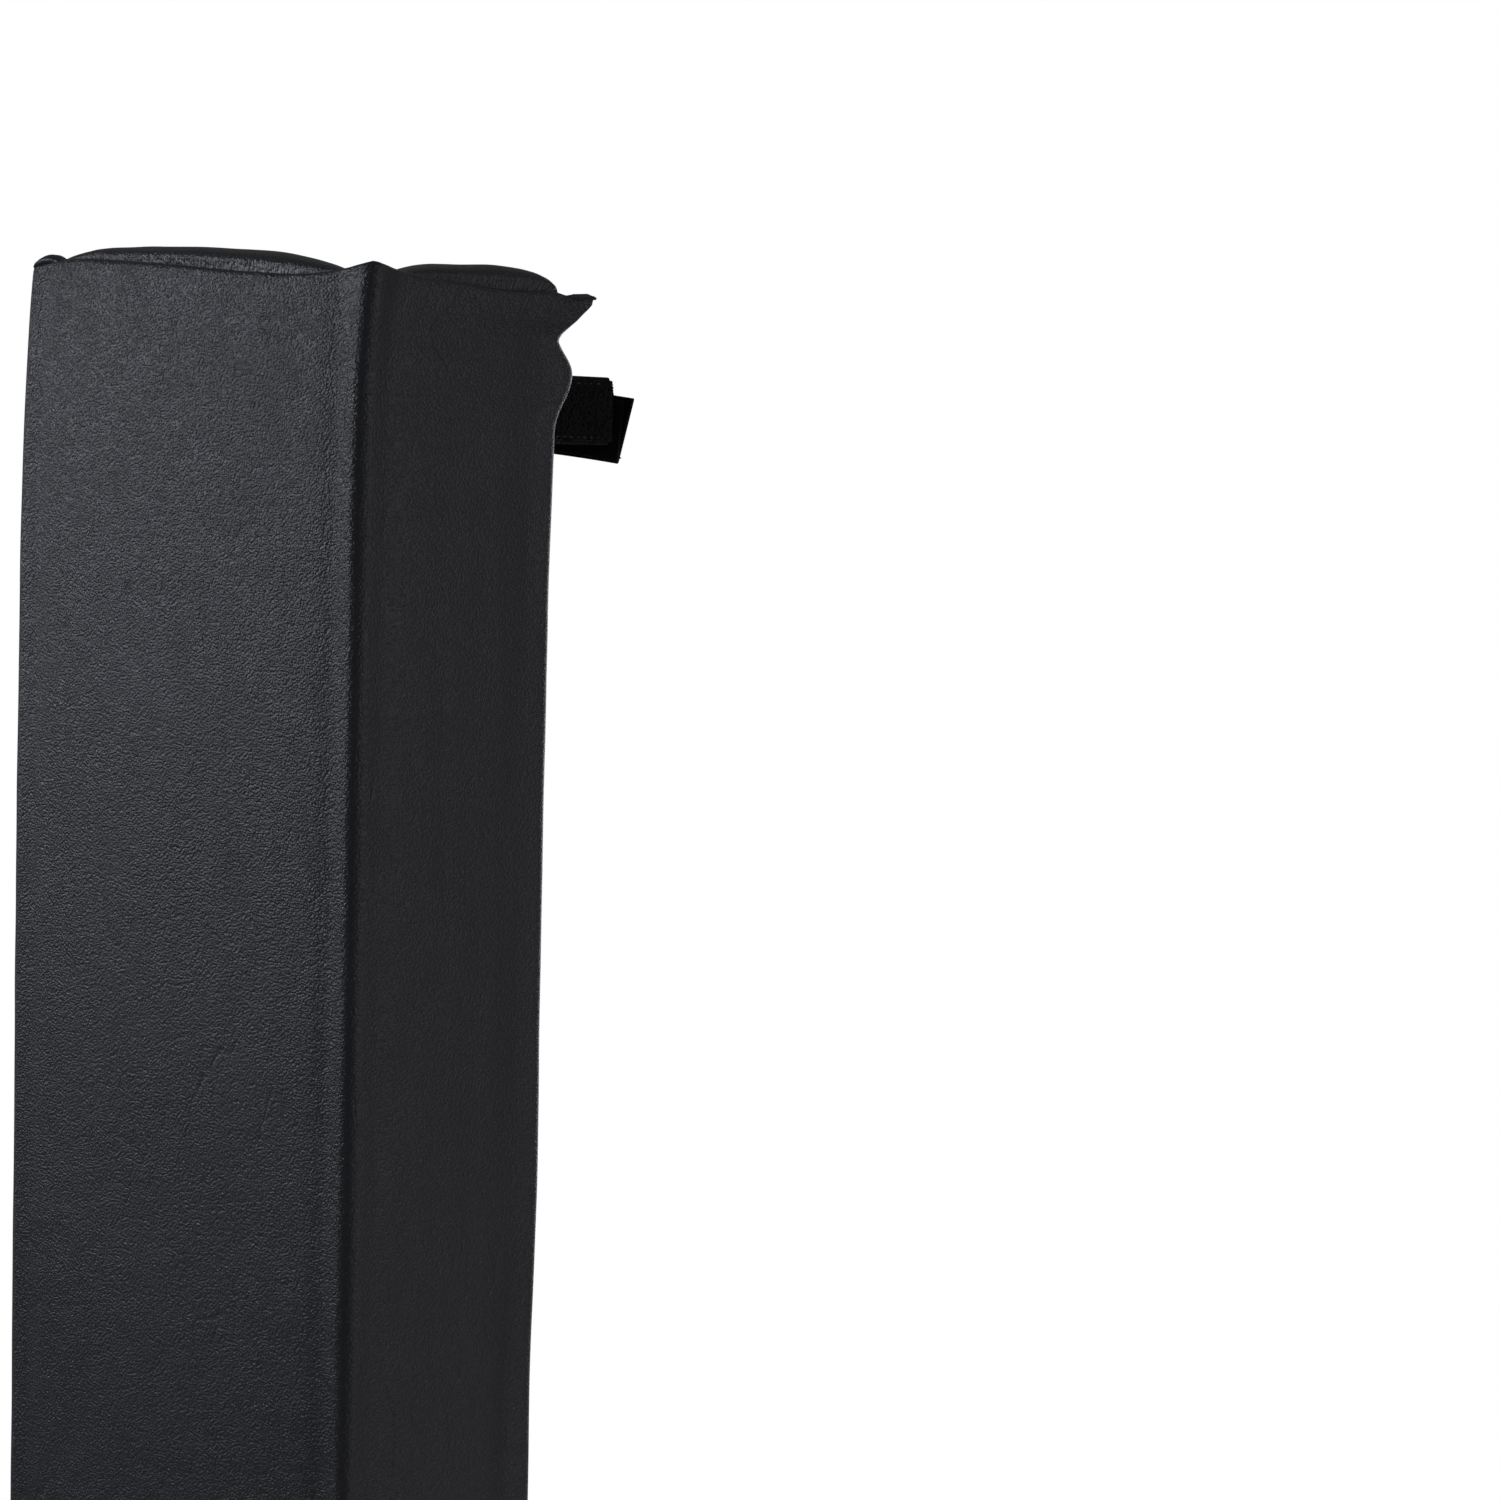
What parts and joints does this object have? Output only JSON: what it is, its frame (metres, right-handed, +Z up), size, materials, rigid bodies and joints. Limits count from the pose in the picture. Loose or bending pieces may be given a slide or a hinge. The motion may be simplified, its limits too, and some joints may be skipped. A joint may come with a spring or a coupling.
{
  "type": "basketball pole pad",
  "caption": "Tall foam-filled vinyl pad that wraps round the front and sides of a square basketball pole and closes behind it with hook-and-loop straps.",
  "frame": {"origin": "on the axis of the pole that the pad wraps, at the pad's bottom end", "axes": "+Z up along the pole, -Y out through the padded front, +Y towards the straps behind the pole, +X to the right as seen from in front"},
  "size_m": [0.1572, 0.1351, 1.225],
  "materials": {
    "cover_vinyl": "leather-grained matte vinyl",
    "liner_vinyl": "plain woven-backed vinyl",
    "foam": "open-cell foam",
    "webbing": "woven webbing",
    "loop_pile": "fuzzy loop pile",
    "hook_tape": "hook tape"
  },
  "bodies": {
    "front_panel": {"front_foam": "foam", "front_cover": "cover_vinyl", "front_liner": "liner_vinyl", "front_top_cap": "cover_vinyl", "front_bottom_cap": "cover_vinyl"},
    "left_side_panel": {"left_foam": "foam", "left_cover": "cover_vinyl", "left_liner": "liner_vinyl", "left_top_cap": "cover_vinyl", "left_bottom_cap": "cover_vinyl", "left_strap_tabs": "webbing"},
    "right_side_panel": {"right_foam": "foam", "right_cover": "cover_vinyl", "right_liner": "liner_vinyl", "right_top_cap": "cover_vinyl", "right_bottom_cap": "cover_vinyl", "right_strap_tabs": "webbing"},
    "hook_strap_1_root": {"hook_strap_1_side": "webbing"},
    "hook_strap_1_end": {"hook_strap_1_back": "webbing", "hook_tape_1": "hook_tape"},
    "loop_strap_1_root": {"loop_strap_1_side": "webbing", "loop_pile_1_side": "loop_pile"},
    "loop_strap_1_end": {"loop_strap_1_back": "webbing", "loop_pile_1_back": "loop_pile"},
    "hook_strap_2_root": {"hook_strap_2_side": "webbing"},
    "hook_strap_2_end": {"hook_strap_2_back": "webbing", "hook_tape_2": "hook_tape"},
    "loop_strap_2_root": {"loop_strap_2_side": "webbing", "loop_pile_2_side": "loop_pile"},
    "loop_strap_2_end": {"loop_strap_2_back": "webbing", "loop_pile_2_back": "loop_pile"},
    "hook_strap_3_root": {"hook_strap_3_side": "webbing"},
    "hook_strap_3_end": {"hook_strap_3_back": "webbing", "hook_tape_3": "hook_tape"},
    "loop_strap_3_root": {"loop_strap_3_side": "webbing", "loop_pile_3_side": "loop_pile"},
    "loop_strap_3_end": {"loop_strap_3_back": "webbing", "loop_pile_3_back": "loop_pile"},
    "hook_strap_4_root": {"hook_strap_4_side": "webbing"},
    "hook_strap_4_end": {"hook_strap_4_back": "webbing", "hook_tape_4": "hook_tape"},
    "loop_strap_4_root": {"loop_strap_4_side": "webbing", "loop_pile_4_side": "loop_pile"},
    "loop_strap_4_end": {"loop_strap_4_back": "webbing", "loop_pile_4_back": "loop_pile"}
  },
  "joints": [
    {"name": "left_side_fold", "type": "hinge", "parent": "front_panel", "child": "left_side_panel", "pos_m": [-0.07628, -0.07628, 0], "axis": [0, 0, 1], "range_deg": [0, 90]},
    {"name": "right_side_fold", "type": "hinge", "parent": "front_panel", "child": "right_side_panel", "pos_m": [0.07628, -0.07628, 0], "axis": [0, 0, -1], "range_deg": [0, 90]},
    {"name": "hook_strap_1_swing", "type": "hinge", "parent": "left_side_panel", "child": "hook_strap_1_root", "pos_m": [-0.0526, 0.008, 1.18], "axis": [0, 0, 1], "range_deg": [0, 90]},
    {"name": "hook_strap_1_unbend", "type": "hinge", "parent": "hook_strap_1_root", "child": "hook_strap_1_end", "pos_m": [-0.05178, 0.05518, 1.18], "axis": [0, 0, 1], "range_deg": [0, 90]},
    {"name": "loop_strap_1_swing", "type": "hinge", "parent": "right_side_panel", "child": "loop_strap_1_root", "pos_m": [0.0526, 0.008, 1.18], "axis": [0, 0, -1], "range_deg": [0, 90]},
    {"name": "loop_strap_1_unbend", "type": "hinge", "parent": "loop_strap_1_root", "child": "loop_strap_1_end", "pos_m": [0.05249, 0.05249, 1.18], "axis": [0, 0, -1], "range_deg": [0, 90]},
    {"name": "hook_strap_2_swing", "type": "hinge", "parent": "left_side_panel", "child": "hook_strap_2_root", "pos_m": [-0.0526, 0.008, 0.79967], "axis": [0, 0, 1], "range_deg": [0, 90]},
    {"name": "hook_strap_2_unbend", "type": "hinge", "parent": "hook_strap_2_root", "child": "hook_strap_2_end", "pos_m": [-0.05178, 0.05518, 0.79967], "axis": [0, 0, 1], "range_deg": [0, 90]},
    {"name": "loop_strap_2_swing", "type": "hinge", "parent": "right_side_panel", "child": "loop_strap_2_root", "pos_m": [0.0526, 0.008, 0.79967], "axis": [0, 0, -1], "range_deg": [0, 90]},
    {"name": "loop_strap_2_unbend", "type": "hinge", "parent": "loop_strap_2_root", "child": "loop_strap_2_end", "pos_m": [0.05249, 0.05249, 0.79967], "axis": [0, 0, -1], "range_deg": [0, 90]},
    {"name": "hook_strap_3_swing", "type": "hinge", "parent": "left_side_panel", "child": "hook_strap_3_root", "pos_m": [-0.0526, 0.008, 0.41933], "axis": [0, 0, 1], "range_deg": [0, 90]},
    {"name": "hook_strap_3_unbend", "type": "hinge", "parent": "hook_strap_3_root", "child": "hook_strap_3_end", "pos_m": [-0.05178, 0.05518, 0.41933], "axis": [0, 0, 1], "range_deg": [0, 90]},
    {"name": "loop_strap_3_swing", "type": "hinge", "parent": "right_side_panel", "child": "loop_strap_3_root", "pos_m": [0.0526, 0.008, 0.41933], "axis": [0, 0, -1], "range_deg": [0, 90]},
    {"name": "loop_strap_3_unbend", "type": "hinge", "parent": "loop_strap_3_root", "child": "loop_strap_3_end", "pos_m": [0.05249, 0.05249, 0.41933], "axis": [0, 0, -1], "range_deg": [0, 90]},
    {"name": "hook_strap_4_swing", "type": "hinge", "parent": "left_side_panel", "child": "hook_strap_4_root", "pos_m": [-0.0526, 0.008, 0.039], "axis": [0, 0, 1], "range_deg": [0, 90]},
    {"name": "hook_strap_4_unbend", "type": "hinge", "parent": "hook_strap_4_root", "child": "hook_strap_4_end", "pos_m": [-0.05178, 0.05518, 0.039], "axis": [0, 0, 1], "range_deg": [0, 90]},
    {"name": "loop_strap_4_swing", "type": "hinge", "parent": "right_side_panel", "child": "loop_strap_4_root", "pos_m": [0.0526, 0.008, 0.039], "axis": [0, 0, -1], "range_deg": [0, 90]},
    {"name": "loop_strap_4_unbend", "type": "hinge", "parent": "loop_strap_4_root", "child": "loop_strap_4_end", "pos_m": [0.05249, 0.05249, 0.039], "axis": [0, 0, -1], "range_deg": [0, 90]}
  ],
  "couplings": [
    {"joint": "right_side_fold", "follows": "left_side_fold", "ratio": 1},
    {"joint": "hook_strap_1_unbend", "follows": "hook_strap_1_swing", "ratio": 1},
    {"joint": "loop_strap_1_swing", "follows": "hook_strap_1_swing", "ratio": 1},
    {"joint": "loop_strap_1_unbend", "follows": "hook_strap_1_swing", "ratio": 1},
    {"joint": "hook_strap_2_unbend", "follows": "hook_strap_2_swing", "ratio": 1},
    {"joint": "loop_strap_2_swing", "follows": "hook_strap_2_swing", "ratio": 1},
    {"joint": "loop_strap_2_unbend", "follows": "hook_strap_2_swing", "ratio": 1},
    {"joint": "hook_strap_3_unbend", "follows": "hook_strap_3_swing", "ratio": 1},
    {"joint": "loop_strap_3_swing", "follows": "hook_strap_3_swing", "ratio": 1},
    {"joint": "loop_strap_3_unbend", "follows": "hook_strap_3_swing", "ratio": 1},
    {"joint": "hook_strap_4_unbend", "follows": "hook_strap_4_swing", "ratio": 1},
    {"joint": "loop_strap_4_swing", "follows": "hook_strap_4_swing", "ratio": 1},
    {"joint": "loop_strap_4_unbend", "follows": "hook_strap_4_swing", "ratio": 1}
  ]
}
